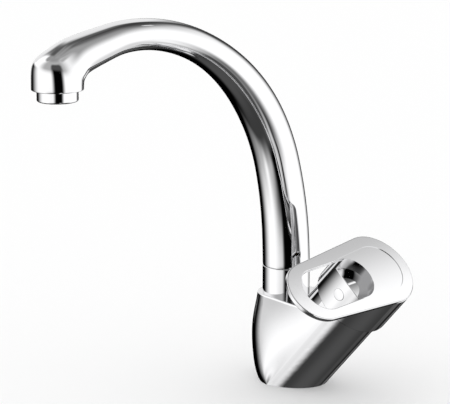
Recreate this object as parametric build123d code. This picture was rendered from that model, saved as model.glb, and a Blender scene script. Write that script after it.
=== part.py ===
from build123d import *
import math
import os

os.makedirs("parts", exist_ok=True)

# Single-lever kitchen mixer tap: slanted cartridge barrel, swan-neck spout, loop handle.
# Millimetres. Origin at the centre of the base, +Z up, spout towards -Y, handle towards +X.

# Clearances
CUT_OVER = 2.0
MOVING_GAP = 0.3
SEAT_GAP = 0.15
SHAFT_GAP = 0.05
DISC_FILM = 0.02

# Body casting
SHELF_Z = 64.0
BELLY_R = 27.9
SPOUT_X = -8.56
LEAN = 42.5
BARREL_FOOT_X = -8.83
BARREL_R = 25.3
BARREL_TOP = 92.4
# Each section: share of the shelf height, then rear radius as a share of the belly radius.
COLUMN_SHARES = ((0, 0.9), (0.1, 0.968), (0.27, 1.0), (0.5, 0.984), (0.75, 0.885), (1, 0.731))
FRONT_ARC_HALF_ANGLE = 80.0
REAR_ARC_HALF_ANGLE = 82.0
SIDE_PULL_SHARE = 0.36
FLAT_HALF_ANGLE = 12.0
SHELF_ROUND = 1.5

# Underside of the base
GASKET_OUTER_R = 22.3
GASKET_INNER_R = 18.7
GASKET_DEPTH = 2.0
INLET_X = 9.0
INLET_Y = 8.5
INLET_THREAD_R = 4.5
INLET_DEPTH = 13.0
STUD_X = -13.0
STUD_THREAD_R = 3.35
STUD_DEPTH = 16.0
WATERWAY_R = 3.0
OUTLET_WATERWAY_R = 3.6

# Spout socket, its neck and the retaining collar
SOCKET_R = 12.0
SOCKET_FLOOR = 34.0
NECK_R = 15.0
NECK_TOP = 76.5
COLLAR_R = 16.87
COLLAR_TOP = 83.5
COLLAR_LIP = 4.2
COLLAR_ROUND = 0.4
SHANK_NECK_R = 13.0
SHANK_FOOT = 38.0
SHANK_BORE_R = 8.4
SHANK_RING_DEPTH = 1.0
RETAINING_RING_R = 14.6
RETAINING_RING_HEIGHT = 1.6
O_RING_SECTION = 2.0
O_RING_SPACING = 9.0
O_RING_FIRST = 6.0
GLIDE_RING_R = 14.9
GLIDE_RING_HEIGHT = 2.2

# Swan-neck spout: tilt of the centre line from vertical, then radius and bore shares
SPOUT_ROOT_R = 16.85
SPOUT_STRAIGHT_TOP = 87.9
FOOT_BEND_R = 263.5
CROWN_BEND_R = 145.6
NOSE_BEND_R = 133.1
FOOT_BEND_END = 15.5
CROWN_BEND_END = 80.6
NOSE_BEND_END = 108.0
SPOUT_SHARES = (
    (2.5, 1.0, 0.58),
    (5.5, 0.995, 0.62),
    (10.5, 0.965, 0.68),
    (15.5, 0.938, 0.74),
    (25.0, 0.93, 0.76),
    (35.0, 0.9, 0.77),
    (45.0, 0.82, 0.78),
    (55.0, 0.73, 0.78),
    (65.0, 0.66, 0.78),
    (72.8, 0.637, 0.78),
    (80.6, 0.624, 0.78),
    (90.0, 0.626, 0.78),
    (99.0, 0.662, 0.78),
    (108.0, 0.754, 0.78),
)
# Outlet head, a fan of oval sections about the inside of the last bend
OUTLET_REACH = 212.5
OUTLET_R = 16.85
OUTLET_BOTTOM = 236.7
OUTLET_BEND_R = 6.0
HEAD_TOP_REACH = 206.9
HEAD_TOP_Z = 266.4
HEAD_SLOPE = 24.5
HEAD_CORNER_POWER = 30.0
HEAD_TILTS = (118.0, 127.0, 135.0, 142.0, 148.0, 153.0, 158.0, 164.0, 172.0, 180.0)
HEAD_BORE_SHARE = 0.66
AERATOR_THREAD_R = 11.9
AERATOR_SOCKET_DEPTH = 10.0

# Aerator
AERATOR_R = 13.4
AERATOR_BOTTOM = 229.5
AERATOR_ROUND = 1.2
AERATOR_THREAD_LENGTH = 7.0
AERATOR_WALL = 1.6
AERATOR_LIP = 1.5
AERATOR_INSERT_R = 9.4
AERATOR_INSERT_HEIGHT = 9.0
AERATOR_MESH_THICKNESS = 0.8
AERATOR_WASHER_HEIGHT = 1.6
AERATOR_SLOT = 1.5
AERATOR_SLOT_PITCH = 3.0
AERATOR_SLOTS = 5

# Cartridge, measured along the slanted axis from its foot
POCKET_FLOOR = 67.0
POCKET_R = 17.7
NUT_THREAD_R = 18.6
NUT_SEAT = 88.5
NUT_BORE_R = 14.3
NUT_HEX_R = 17.4
NUT_HEX_HEIGHT = 2.6
CARTRIDGE_R = 17.5
CARTRIDGE_BASE_THICKNESS = 4.6
PORT_RADIUS = 9.0
PORT_ANGLES = (30.0, 150.0, 270.0)
PORT_NAMES = ("cold", "hot", "mixed")
PORT_SEAL_R = 4.9
PORT_SEAL_BORE_R = 3.2
PORT_SEAL_HEIGHT = 1.4
LUG_R = 1.8
LUG_RADIUS = 14.2
LUG_DEPTH = 2.0
LUG_ANGLES = (-30.0, 210.0)
DISC_R = 14.6
DISC_THICKNESS = 3.6
KIDNEY_WIDTH = 4.2
KIDNEY_SPREAD = 36.0
MIX_DISC_R = 12.2
MIX_DISC_THICKNESS = 3.4
MIX_CAVITY_DEPTH = 1.8
MIX_CAVITY_LENGTH = 13.0
MIX_CAVITY_WIDTH = 7.0
HOUSING_BORE_R = 15.6
HOUSING_ROOF = 2.2
HOUSING_NECK_R = 14.0
HOUSING_NECK_TOP = 99.4
TURRET_R = 12.0
TURRET_FLANGE_R = 15.2
TURRET_FLANGE = 2.2
TURRET_TOP = 101.6
CARRIER_R = 11.4
CARRIER_PLATE = 2.6
CARRIER_BLOCK_LENGTH = 13.0
CARRIER_BLOCK_WIDTH = 13.6
CARRIER_TOP = 90.9
CARRIER_SOCKET_FLOOR = 86.0

# Lever stem and its pivot
PIVOT_S = 98.0
DRIVE_ARM = 8.5
DRIVE_R = 3.2
STEM_WAIST = 5.0
STEM_THICKNESS = 6.8
STEM_WIDTH = 7.0
STEM_SHOULDER = 94.0
STEM_COVER = 3.5
PIN_R = 1.5
PIN_INSET = 0.6
LIFT_MAX = 25.0

# Dome cover below the handle
DOME_INSET = 3.7
DOME_RIM = 1.0
DOME_HOLE_R = 14.7
DOME_TOP = 98.4
DOME_WALL = 1.2
DOME_BULGE = 1.3

# Loop handle, in the handle's own directions: along the loop, across it, along the axis
CLOCK = 3.5
HUB_R = 28.3
HUB_BOTTOM = 94.9
HUB_WALL = 1.7
HUB_HEIGHT = 36.2
HUB_ROOM = 6.4
PLATE_THICKNESS = 3.3
PLATE_HUB_R = 28.0
PLATE_HUB_U = 0.8
PLATE_END_R = 23.1
PLATE_END_U = 66.3
PLATE_ROUND = 0.7
HUB_ROUND = 0.4
LOOP_ROUND = 0.5
HOLE_R = 16.2
HOLE_NEAR_U = 27.6
HOLE_FAR_U = 60.7
NOTCH_DEPTH = 7.6
NOTCH_ARCH_R = 37.0
RECESS_HUB_R = 19.0
RECESS_END_R = 17.2
RECESS_DEPTH = 0.35
RELIEF_START = 12.3
RELIEF_ANGLE = 28.8

# Handle fastening behind the round index plug
GRUB_RISE = 3.5
GRUB_R = 2.5
GRUB_LENGTH = 8.5
GRUB_KEY_R = 1.45
GRUB_KEY_DEPTH = 3.0
PLUG_R = 4.3
PLUG_THICKNESS = 3.0

# Derived places
UP = (Align.CENTER, Align.CENTER, Align.MIN)
DOWN = (Align.CENTER, Align.CENTER, Align.MAX)
FORWARD = (Align.MIN, Align.CENTER, Align.CENTER)
LEAN_SIN = math.sin(math.radians(LEAN))
LEAN_COS = math.cos(math.radians(LEAN))
AXIS = Plane(origin=(BARREL_FOOT_X, 0, 0), x_dir=(0, -1, 0), z_dir=(LEAN_SIN, 0, LEAN_COS))
HANDLE = Plane(AXIS.location * Rot(0, 0, CLOCK))
SPOUT_AXIS = Plane(origin=(SPOUT_X, 0, 0))
OUTLET_AXIS = Plane(origin=(SPOUT_X, -OUTLET_REACH, 0))
WORK_SIZE = 4 * BARREL_TOP
SPOUT_BOTTOM = COLLAR_TOP + SEAT_GAP
BASE_TOP = POCKET_FLOOR + CARTRIDGE_BASE_THICKNESS
FIXED_DISC_TOP = BASE_TOP + DISC_THICKNESS
MIX_DISC_BOTTOM = FIXED_DISC_TOP + DISC_FILM
MIX_DISC_TOP = MIX_DISC_BOTTOM + MIX_DISC_THICKNESS
CARRIER_PLATE_TOP = MIX_DISC_TOP + CARRIER_PLATE
ROOF_BOTTOM = NUT_SEAT - HOUSING_ROOF
FLANGE_TOP = ROOF_BOTTOM - SEAT_GAP
FLANGE_BOTTOM = FLANGE_TOP - TURRET_FLANGE
DRIVE_S = PIVOT_S - DRIVE_ARM
CARRIER_TRAVEL = DRIVE_ARM * math.sin(math.radians(LIFT_MAX))
REST_OFFSET = CARRIER_TRAVEL / 2
DOME_R = HUB_R - DOME_INSET
PLATE_TOP = HUB_BOTTOM + HUB_HEIGHT
PLATE_BOTTOM = PLATE_TOP - PLATE_THICKNESS
NOTCH_FLOOR = PLATE_TOP - NOTCH_DEPTH
STEM_TOP = NOTCH_FLOOR - STEM_COVER
HUB_CEILING = TURRET_TOP + HUB_ROOM
GRUB_S = HUB_CEILING + GRUB_RISE


def disc(radius, low, high):
    """Solid disc along local Z between two heights."""
    return Pos(0, 0, low) * Cylinder(radius, high - low, align=UP)


def ring(outer, inner, low, high):
    """Ring along local Z between two heights."""
    return disc(outer, low, high) - disc(inner, low - CUT_OVER, high + CUT_OVER)


def block(length, width, low, high):
    """Centred block along local Z between two heights."""
    return Pos(0, 0, low) * Box(length, width, high - low, align=UP)


def on_circle(radius, angle):
    """Point on a circle, as a location."""
    turn = math.radians(angle)
    return Pos(radius * math.cos(turn), radius * math.sin(turn), 0)


def drilling(start, end, radius):
    """Straight drilling between two points."""
    path = Vector(*end) - Vector(*start)
    return Plane(origin=start, z_dir=path) * Cylinder(radius, path.length, align=UP)


def o_ring(radius, section, height):
    """O-ring round local Z."""
    return Pos(0, 0, height) * Torus(radius, section / 2)


def edges_inside(shape, low, high):
    """Edges whose own box lies between two corners."""
    found = []
    for edge in shape.edges():
        box = edge.bounding_box()
        above = box.min.X > low[0] and box.min.Y > low[1] and box.min.Z > low[2]
        if above and box.max.X < high[0] and box.max.Y < high[1] and box.max.Z < high[2]:
            found.append(edge)
    return found


def axis_point(u, w, s):
    """Point in the slanted cartridge frame, as a position of the tap."""
    return AXIS.from_local_coords(Vector(u, w, s))


# Body casting


def column_section(height_share, radius_share):
    """One level section: the barrel's ellipse in front, a round column behind."""
    z = SHELF_Z * height_share
    front_x = BARREL_FOOT_X + z * LEAN_SIN / LEAN_COS
    rear_x = SPOUT_X * height_share
    rear_r = BELLY_R * radius_share
    long_r = BARREL_R / LEAN_COS
    front_half = math.radians(FRONT_ARC_HALF_ANGLE)
    rear_half = math.radians(REAR_ARC_HALF_ANGLE)
    front_end = Vector(front_x + long_r * math.cos(front_half), BARREL_R * math.sin(front_half))
    front_way = Vector(-long_r * math.sin(front_half), BARREL_R * math.cos(front_half)).normalized()
    rear_end = Vector(rear_x - rear_r * math.cos(rear_half), rear_r * math.sin(rear_half))
    rear_way = Vector(math.sin(rear_half), math.cos(rear_half))
    pull = SIDE_PULL_SHARE * (rear_end - front_end).length
    side = Bezier(front_end, front_end + front_way * pull, rear_end + rear_way * pull, rear_end)
    front = EllipticalCenterArc((front_x, 0), long_r, BARREL_R, -FRONT_ARC_HALF_ANGLE,
                                arc_size=2 * FRONT_ARC_HALF_ANGLE)
    rear = CenterArc((rear_x, 0), rear_r, 180 - REAR_ARC_HALF_ANGLE, 2 * REAR_ARC_HALF_ANGLE)
    outline = front + side + rear + mirror(side, Plane.XZ)
    return Plane.XY.offset(z) * make_face(outline)


def body_casting():
    """Hollow cast body with its waterways, spout socket and cartridge pocket."""
    column = loft([column_section(*share) for share in COLUMN_SHARES])
    column = fillet(column.faces().sort_by(Axis.Z)[-1].edges(), SHELF_ROUND)
    barrel = AXIS * disc(BARREL_R, 0, BARREL_TOP)
    barrel -= Pos(0, 0, SHELF_Z) * Box(WORK_SIZE, WORK_SIZE, WORK_SIZE, align=DOWN)
    flat_angle = 90 - FRONT_ARC_HALF_ANGLE - FLAT_HALF_ANGLE
    flat_offset = BARREL_R * math.cos(math.radians(FLAT_HALF_ANGLE))
    flat = Pos(flat_offset, 0, 0) * Box(WORK_SIZE, WORK_SIZE, WORK_SIZE, align=FORWARD)
    for turn in (flat_angle, 180 - flat_angle):
        barrel -= AXIS * Rot(0, 0, turn) * flat
    body = column + barrel
    body -= AXIS * Pos(0, 0, BARREL_TOP) * Box(WORK_SIZE, WORK_SIZE, WORK_SIZE, align=UP)
    body += SPOUT_AXIS * disc(NECK_R, SHELF_Z, NECK_TOP)
    body -= SPOUT_AXIS * disc(SOCKET_R, SOCKET_FLOOR, NECK_TOP + CUT_OVER)
    body -= AXIS * disc(POCKET_R, POCKET_FLOOR, BARREL_TOP + CUT_OVER)
    body -= AXIS * disc(NUT_THREAD_R, NUT_SEAT, BARREL_TOP + CUT_OVER)
    for angle in LUG_ANGLES:
        body -= AXIS * on_circle(LUG_RADIUS, angle) * disc(
            LUG_R + SEAT_GAP, POCKET_FLOOR - LUG_DEPTH - SEAT_GAP, POCKET_FLOOR + CUT_OVER)
    body -= ring(GASKET_OUTER_R + SEAT_GAP, GASKET_INNER_R - SEAT_GAP, -CUT_OVER, GASKET_DEPTH)
    body -= Pos(STUD_X, 0, 0) * disc(STUD_THREAD_R, -CUT_OVER, STUD_DEPTH)
    for side, angle in ((-1, PORT_ANGLES[0]), (1, PORT_ANGLES[1])):
        inlet = (INLET_X, side * INLET_Y, 0)
        body -= Pos(*inlet) * disc(INLET_THREAD_R, -CUT_OVER, INLET_DEPTH)
        port = (on_circle(PORT_RADIUS, angle)).position
        body -= drilling((INLET_X, side * INLET_Y, INLET_DEPTH - CUT_OVER),
                         axis_point(port.X, port.Y, POCKET_FLOOR + CUT_OVER), WATERWAY_R)
    port = (on_circle(PORT_RADIUS, PORT_ANGLES[2])).position
    body -= drilling(axis_point(port.X, port.Y, POCKET_FLOOR + CUT_OVER),
                     (SPOUT_X, 0, SOCKET_FLOOR + OUTLET_WATERWAY_R), OUTLET_WATERWAY_R)
    return body


def base_gasket():
    """Flat sealing ring in the groove under the base."""
    return ring(GASKET_OUTER_R, GASKET_INNER_R, 0, GASKET_DEPTH)


def retaining_collar():
    """Smooth chromed nut that holds the spout's shank down on the neck."""
    collar = disc(COLLAR_R, SHELF_Z, COLLAR_TOP)
    collar = fillet(collar.edges().group_by(Axis.Z)[-1], COLLAR_ROUND)
    collar -= disc(NECK_R + SHAFT_GAP, SHELF_Z - CUT_OVER, COLLAR_TOP - COLLAR_LIP)
    collar -= disc(SHANK_NECK_R + MOVING_GAP, SHELF_Z, COLLAR_TOP + CUT_OVER)
    collar -= disc(GLIDE_RING_R + SHAFT_GAP, COLLAR_TOP - GLIDE_RING_HEIGHT, COLLAR_TOP + CUT_OVER)
    return SPOUT_AXIS * collar


# Swan-neck spout


def bend_point(tilt):
    """Centre of the spout's tube where it has turned to a tilt: reach and height."""
    reach = 0
    height = SPOUT_STRAIGHT_TOP
    start = 0
    for end, radius in ((FOOT_BEND_END, FOOT_BEND_R), (CROWN_BEND_END, CROWN_BEND_R),
                        (NOSE_BEND_END, NOSE_BEND_R)):
        stop = min(tilt, end)
        if stop > start:
            a = math.radians(start)
            b = math.radians(stop)
            reach += radius * (math.cos(a) - math.cos(b))
            height += radius * (math.sin(b) - math.sin(a))
            start = stop
    return reach, height


def tube_section(reach, height, tilt, half_width, half_height):
    """Oval section of the spout, square to its centre line."""
    turn = math.radians(tilt)
    place = Plane(origin=(SPOUT_X, -reach, height), x_dir=(1, 0, 0),
                  z_dir=(0, -math.sin(turn), math.cos(turn)))
    return place * scale(Circle(half_width), by=(1, half_height / half_width, 1))


def head_oval(tilt):
    """Section of the outlet head: reach, height, tilt, half width and half height."""
    bend_reach = OUTLET_REACH - OUTLET_R - OUTLET_BEND_R
    out = Vector(-math.cos(math.radians(tilt)), math.sin(math.radians(tilt)))
    slope = math.radians(HEAD_SLOPE)
    top_normal = Vector(math.sin(slope), math.cos(slope))
    top_offset = (HEAD_TOP_REACH - bend_reach) * top_normal.X + (HEAD_TOP_Z - OUTLET_BOTTOM) * top_normal.Y
    front_offset = 2 * OUTLET_R + OUTLET_BEND_R
    to_top = max(out.dot(top_normal), 0) / top_offset
    to_front = out.X / front_offset
    power = HEAD_CORNER_POWER
    far = (to_top ** power + to_front ** power) ** (-1 / power)
    middle = (far + OUTLET_BEND_R) / 2
    part_way = math.sin(math.radians(90 * (tilt - NOSE_BEND_END) / (180 - NOSE_BEND_END)))
    nose_r = SPOUT_ROOT_R * SPOUT_SHARES[-1][1]
    half_width = nose_r + (OUTLET_R - nose_r) * part_way
    bore_share = SPOUT_SHARES[-1][2] + (HEAD_BORE_SHARE - SPOUT_SHARES[-1][2]) * part_way
    reach = bend_reach + out.X * middle
    height = OUTLET_BOTTOM + out.Y * middle
    return reach, height, tilt, half_width, (far - OUTLET_BEND_R) / 2, bore_share


def spout_sections():
    """All sections of the spout from its root to the outlet."""
    rows = [(0, SPOUT_BOTTOM, 0, SPOUT_ROOT_R, SPOUT_ROOT_R, SHANK_BORE_R / SPOUT_ROOT_R)]
    for tilt, radius_share, bore_share in SPOUT_SHARES:
        radius = SPOUT_ROOT_R * radius_share
        rows.append((*bend_point(tilt), tilt, radius, radius, bore_share))
    rows += [head_oval(tilt) for tilt in HEAD_TILTS]
    return rows


def spout():
    """Swan-neck tube with its waterway, shank and threaded outlet."""
    rows = spout_sections()
    skin = loft([tube_section(*row[:5]) for row in rows])
    bore = loft([tube_section(*row[:3], row[3] * row[5], row[4] * row[5]) for row in rows])
    shank_r = SOCKET_R - MOVING_GAP
    step_z = NECK_TOP + SEAT_GAP
    shank = disc(shank_r, SHANK_FOOT, step_z) + disc(SHANK_NECK_R, step_z, SPOUT_BOTTOM)
    ring_low = step_z + SEAT_GAP
    shank -= ring(WORK_SIZE, SHANK_NECK_R - SHANK_RING_DEPTH, ring_low, ring_low + RETAINING_RING_HEIGHT)
    for index in range(2):
        middle = SHANK_FOOT + O_RING_FIRST + index * O_RING_SPACING
        half = O_RING_SECTION / 2 + SEAT_GAP
        shank -= ring(WORK_SIZE, SOCKET_R - O_RING_SECTION, middle - half, middle + half)
    body = skin + SPOUT_AXIS * shank
    body -= bore
    body -= SPOUT_AXIS * disc(SHANK_BORE_R, SHANK_FOOT - CUT_OVER, SPOUT_BOTTOM + CUT_OVER)
    body -= OUTLET_AXIS * disc(AERATOR_THREAD_R + SHAFT_GAP, OUTLET_BOTTOM - CUT_OVER,
                               OUTLET_BOTTOM + AERATOR_SOCKET_DEPTH)
    return body


def shank_o_ring(index):
    """One of the two seals of the spout's shank."""
    middle = SHANK_FOOT + O_RING_FIRST + index * O_RING_SPACING
    outer = SOCKET_R - SHAFT_GAP
    inner = SOCKET_R - O_RING_SECTION + SHAFT_GAP
    section = outer - inner
    return SPOUT_AXIS * o_ring((outer + inner) / 2, section, middle)


def retaining_ring():
    """Split ring in the shank's groove, trapped under the collar's lip."""
    low = NECK_TOP + 2 * SEAT_GAP
    open_ring = ring(RETAINING_RING_R, SHANK_NECK_R - SHANK_RING_DEPTH + SHAFT_GAP,
                     low, low + RETAINING_RING_HEIGHT - SHAFT_GAP)
    gap = Pos(RETAINING_RING_R, 0, low) * block(
        RETAINING_RING_R, RETAINING_RING_HEIGHT, -CUT_OVER, RETAINING_RING_HEIGHT + CUT_OVER)
    return SPOUT_AXIS * (open_ring - gap)


def glide_ring():
    """Plastic ring that the spout turns on."""
    return SPOUT_AXIS * ring(GLIDE_RING_R, SHANK_NECK_R + SHAFT_GAP,
                             COLLAR_TOP - GLIDE_RING_HEIGHT, SPOUT_BOTTOM - SHAFT_GAP)


# Aerator


def aerator_housing():
    """Screwed sleeve with a rounded lower edge."""
    sleeve = disc(AERATOR_R, AERATOR_BOTTOM, OUTLET_BOTTOM - SHAFT_GAP)
    sleeve = fillet(sleeve.edges().group_by(Axis.Z)[0], AERATOR_ROUND)
    sleeve += disc(AERATOR_THREAD_R, OUTLET_BOTTOM - SHAFT_GAP, OUTLET_BOTTOM + AERATOR_THREAD_LENGTH)
    sleeve -= disc(AERATOR_THREAD_R - AERATOR_WALL, AERATOR_BOTTOM + AERATOR_LIP,
                   OUTLET_BOTTOM + AERATOR_THREAD_LENGTH + CUT_OVER)
    sleeve -= disc(AERATOR_THREAD_R - AERATOR_WALL - AERATOR_LIP, AERATOR_BOTTOM - CUT_OVER, OUTLET_BOTTOM)
    return OUTLET_AXIS * sleeve


def aerator_insert():
    """Flow regulator with parallel jet slots."""
    radius = AERATOR_THREAD_R - AERATOR_WALL - SEAT_GAP
    low = AERATOR_BOTTOM + AERATOR_LIP + AERATOR_MESH_THICKNESS
    body = disc(radius, low, low + AERATOR_INSERT_HEIGHT)
    for index in range(AERATOR_SLOTS):
        offset = (index - (AERATOR_SLOTS - 1) / 2) * AERATOR_SLOT_PITCH
        length = 2 * math.sqrt((radius - AERATOR_SLOT) ** 2 - offset ** 2) - AERATOR_SLOT
        body -= Pos(0, offset, 0) * block(length, AERATOR_SLOT, low - CUT_OVER,
                                          low + AERATOR_INSERT_HEIGHT + CUT_OVER)
    return OUTLET_AXIS * body


def aerator_mesh():
    """Perforated outlet disc on the housing's lip."""
    radius = AERATOR_THREAD_R - AERATOR_WALL - SEAT_GAP
    low = AERATOR_BOTTOM + AERATOR_LIP
    plate = disc(radius, low, low + AERATOR_MESH_THICKNESS - SHAFT_GAP)
    hole = disc(AERATOR_SLOT / 2, low - CUT_OVER, low + CUT_OVER)
    plate -= hole
    for rank in (1, 2):
        for index in range(6 * rank):
            plate -= on_circle(rank * AERATOR_SLOT_PITCH, 60 * index / rank) * hole
    return OUTLET_AXIS * plate


def aerator_washer():
    """Rubber washer between the housing and the socket's end."""
    low = OUTLET_BOTTOM + AERATOR_THREAD_LENGTH
    return OUTLET_AXIS * ring(AERATOR_THREAD_R - SHAFT_GAP, AERATOR_INSERT_R,
                              low, low + AERATOR_WASHER_HEIGHT)


# Cartridge


def port_seal(angle):
    """Seal ring round one port, in a recess of the cartridge base."""
    return AXIS * on_circle(PORT_RADIUS, angle) * ring(
        PORT_SEAL_R, PORT_SEAL_BORE_R, POCKET_FLOOR, POCKET_FLOOR + PORT_SEAL_HEIGHT)


def cartridge_base():
    """Ported base with two locating lugs."""
    base = disc(CARTRIDGE_R, POCKET_FLOOR, BASE_TOP)
    for angle in LUG_ANGLES:
        base += on_circle(LUG_RADIUS, angle) * disc(LUG_R, POCKET_FLOOR - LUG_DEPTH, POCKET_FLOOR)
    for angle in PORT_ANGLES:
        place = on_circle(PORT_RADIUS, angle)
        base -= place * disc(WATERWAY_R, POCKET_FLOOR - CUT_OVER, BASE_TOP + CUT_OVER)
        base -= place * disc(PORT_SEAL_R + SHAFT_GAP, POCKET_FLOOR - CUT_OVER,
                             POCKET_FLOOR + PORT_SEAL_HEIGHT)
    return AXIS * base


def kidney(angle, width, low, high):
    """Curved port slot on the port circle."""
    centre_line = CenterArc((0, 0), PORT_RADIUS, angle - KIDNEY_SPREAD / 2, KIDNEY_SPREAD)
    return Pos(0, 0, low) * extrude(SlotArc(centre_line, width), high - low)


def fixed_ceramic_disc():
    """Ceramic disc with three kidney ports."""
    plate = disc(DISC_R, BASE_TOP, FIXED_DISC_TOP)
    for angle in PORT_ANGLES:
        plate -= kidney(angle, KIDNEY_WIDTH, BASE_TOP - CUT_OVER, FIXED_DISC_TOP + CUT_OVER)
    return AXIS * plate


def moving_ceramic_disc():
    """Ceramic disc whose blind cavity joins the ports as it slides and turns."""
    plate = disc(MIX_DISC_R, MIX_DISC_BOTTOM, MIX_DISC_TOP)
    cavity = extrude(SlotOverall(MIX_CAVITY_LENGTH, MIX_CAVITY_WIDTH), MIX_CAVITY_DEPTH + CUT_OVER)
    plate -= Pos(0, 0, MIX_DISC_BOTTOM - CUT_OVER) * cavity
    return HANDLE * Pos(-REST_OFFSET, 0, 0) * plate


def disc_carrier():
    """Sliding carrier with the drive socket for the lever's lower end."""
    carrier = Pos(-REST_OFFSET, 0, 0) * disc(CARRIER_R, MIX_DISC_TOP, CARRIER_PLATE_TOP)
    carrier += block(CARRIER_BLOCK_LENGTH, CARRIER_BLOCK_WIDTH, CARRIER_PLATE_TOP, CARRIER_TOP)
    carrier -= block(2 * (DRIVE_R + SEAT_GAP), STEM_WIDTH + 2 * SEAT_GAP,
                     CARRIER_SOCKET_FLOOR, CARRIER_TOP + CUT_OVER)
    return HANDLE * carrier


def cartridge_housing():
    """Shell that holds the discs, with a roof for the nut and a neck for the turret."""
    shell = disc(CARTRIDGE_R, BASE_TOP, NUT_SEAT) + disc(HOUSING_NECK_R, NUT_SEAT, HOUSING_NECK_TOP)
    shell -= disc(DISC_R + SEAT_GAP, BASE_TOP - CUT_OVER, FIXED_DISC_TOP)
    shell -= disc(HOUSING_BORE_R, FIXED_DISC_TOP, ROOF_BOTTOM)
    shell -= disc(TURRET_R + SEAT_GAP, ROOF_BOTTOM - CUT_OVER, HOUSING_NECK_TOP + CUT_OVER)
    return AXIS * shell


def turret():
    """Turning head of the cartridge: guides the carrier and holds the lever's pivot."""
    head = disc(TURRET_FLANGE_R, FLANGE_BOTTOM, FLANGE_TOP) + disc(TURRET_R, FLANGE_BOTTOM, TURRET_TOP)
    channel = block(WORK_SIZE, CARRIER_BLOCK_WIDTH + 2 * SEAT_GAP, FLANGE_BOTTOM - CUT_OVER,
                    CARRIER_TOP + MOVING_GAP)
    reach = CARRIER_BLOCK_LENGTH / 2 + MOVING_GAP
    channel &= block(2 * (reach + CARRIER_TRAVEL), WORK_SIZE, FLANGE_BOTTOM - CUT_OVER, TURRET_TOP)
    head -= channel
    lean = math.tan(math.radians(LIFT_MAX))
    slot_half = STEM_THICKNESS + (TURRET_TOP - PIVOT_S) * lean
    head -= block(2 * slot_half, STEM_WIDTH + 2 * SEAT_GAP, FLANGE_BOTTOM, TURRET_TOP + CUT_OVER)
    head -= Pos(0, 0, PIVOT_S) * Rot(90, 0, 0) * Cylinder(PIN_R + DISC_FILM, WORK_SIZE)
    return HANDLE * head


def stem_pin():
    """Pivot pin across the turret's two cheeks."""
    length = 2 * (TURRET_R - PIN_INSET)
    return HANDLE * Pos(0, 0, PIVOT_S) * Rot(90, 0, 0) * Cylinder(PIN_R, length)


def lever_stem():
    """Lever stem: drive lobe, waist, pivot bore and square end."""
    lobe = Circle(DRIVE_R)
    waist = Pos(0, (STEM_SHOULDER - DRIVE_S) / 2) * Rectangle(STEM_WAIST, STEM_SHOULDER - DRIVE_S)
    shaft = Pos(0, (STEM_SHOULDER + STEM_TOP) / 2 - DRIVE_S) * Rectangle(
        STEM_THICKNESS, STEM_TOP - STEM_SHOULDER)
    profile = lobe + waist + shaft - Pos(0, DRIVE_ARM) * Circle(PIN_R + SHAFT_GAP)
    side_plane = Plane(origin=(0, STEM_WIDTH / 2, DRIVE_S), x_dir=(1, 0, 0), z_dir=(0, -1, 0))
    return HANDLE * (side_plane * extrude(profile, STEM_WIDTH))


def retaining_nut():
    """Nut that clamps the cartridge in the pocket."""
    nut = disc(NUT_THREAD_R - SHAFT_GAP, NUT_SEAT, BARREL_TOP)
    nut += Pos(0, 0, BARREL_TOP) * extrude(RegularPolygon(NUT_HEX_R, 6), NUT_HEX_HEIGHT)
    nut -= disc(NUT_BORE_R, NUT_SEAT - CUT_OVER, BARREL_TOP + NUT_HEX_HEIGHT + CUT_OVER)
    return AXIS * nut


def dome_cover():
    """Domed trim over the nut, closed to a small gap round the cartridge neck."""
    rim_top = BARREL_TOP + DOME_RIM
    outer_end = (DOME_HOLE_R, DOME_TOP)
    inner_start = (DOME_HOLE_R, DOME_TOP - DOME_WALL)
    inner_end = (DOME_R - DOME_WALL, rim_top - DOME_WALL / 2)
    middle = Vector((DOME_R + DOME_HOLE_R) / 2 + DOME_BULGE, (rim_top + DOME_TOP) / 2 + DOME_BULGE)
    outer = ThreePointArc((DOME_R, rim_top), middle, outer_end)
    inner = ThreePointArc(inner_start, middle - Vector(DOME_WALL, DOME_WALL) * LEAN_COS, inner_end)
    outline = (Line((DOME_R, BARREL_TOP), (DOME_R, rim_top)) + outer + Line(outer_end, inner_start)
               + inner + Line(inner_end, (DOME_R - DOME_WALL, BARREL_TOP))
               + Line((DOME_R - DOME_WALL, BARREL_TOP), (DOME_R, BARREL_TOP)))
    return AXIS * revolve(Plane.XZ * make_face(outline), Axis.Z)


# Loop handle


def tangent_hull(near_r, near_u, far_r, far_u):
    """Outline of two circles on one line and their common tangents."""
    lean = math.asin((near_r - far_r) / (far_u - near_u))
    near_top = Vector(near_u + near_r * math.sin(lean), near_r * math.cos(lean))
    far_top = Vector(far_u + far_r * math.sin(lean), far_r * math.cos(lean))
    top = Line(near_top, far_top)
    half = 90 - math.degrees(lean)
    near = CenterArc((near_u, 0), near_r, half, 360 - 2 * half)
    far = CenterArc((far_u, 0), far_r, -half, 2 * half)
    return make_face(top + near + far + mirror(top, Plane.XZ))


def stadium(radius, near_u, far_u, low, high):
    """Stadium-shaped prism along the handle."""
    outline = Pos((near_u + far_u) / 2, 0) * SlotCenterToCenter(far_u - near_u, 2 * radius)
    return Pos(0, 0, low) * extrude(outline, high - low)


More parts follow.
